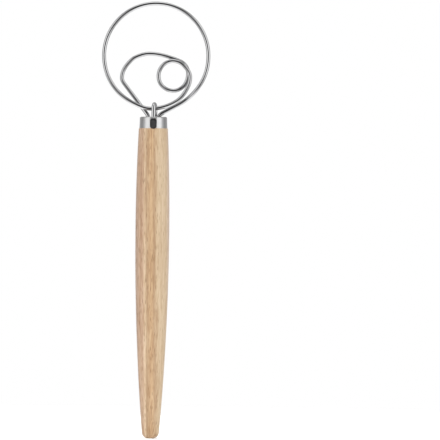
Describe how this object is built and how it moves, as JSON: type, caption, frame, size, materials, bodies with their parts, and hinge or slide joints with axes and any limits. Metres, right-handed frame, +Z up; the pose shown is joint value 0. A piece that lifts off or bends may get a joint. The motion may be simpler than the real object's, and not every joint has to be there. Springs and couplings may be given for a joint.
{
  "type": "dough whisk",
  "caption": "Bread dough whisk: a looped wire head with a small curl inside a big ring, in a steel ferrule on a turned wooden handle.",
  "frame": {"origin": "the hanging point: the spot on the inside of the ring, right over the handle's axis, that rests on a hook", "axes": "+Z up along the handle's axis towards the ring, +X to the right seen from the front, -Y to the front, where the ferrule has its window"},
  "size_m": [0.082, 0.0256, 0.3308],
  "materials": {
    "wood": "turned rubberwood, thin matt oil finish",
    "ferrule_steel": "drawn stainless steel, satin polished",
    "wire_steel": "bright polished stainless steel wire",
    "dark_resin": "cast dark grey potting resin"
  },
  "bodies": {
    "root": {"handle": "wood", "ferrule": "ferrule_steel", "whisk_wire": "wire_steel", "binding_staple": "wire_steel", "potting_resin": "dark_resin"}
  },
  "joints": []
}
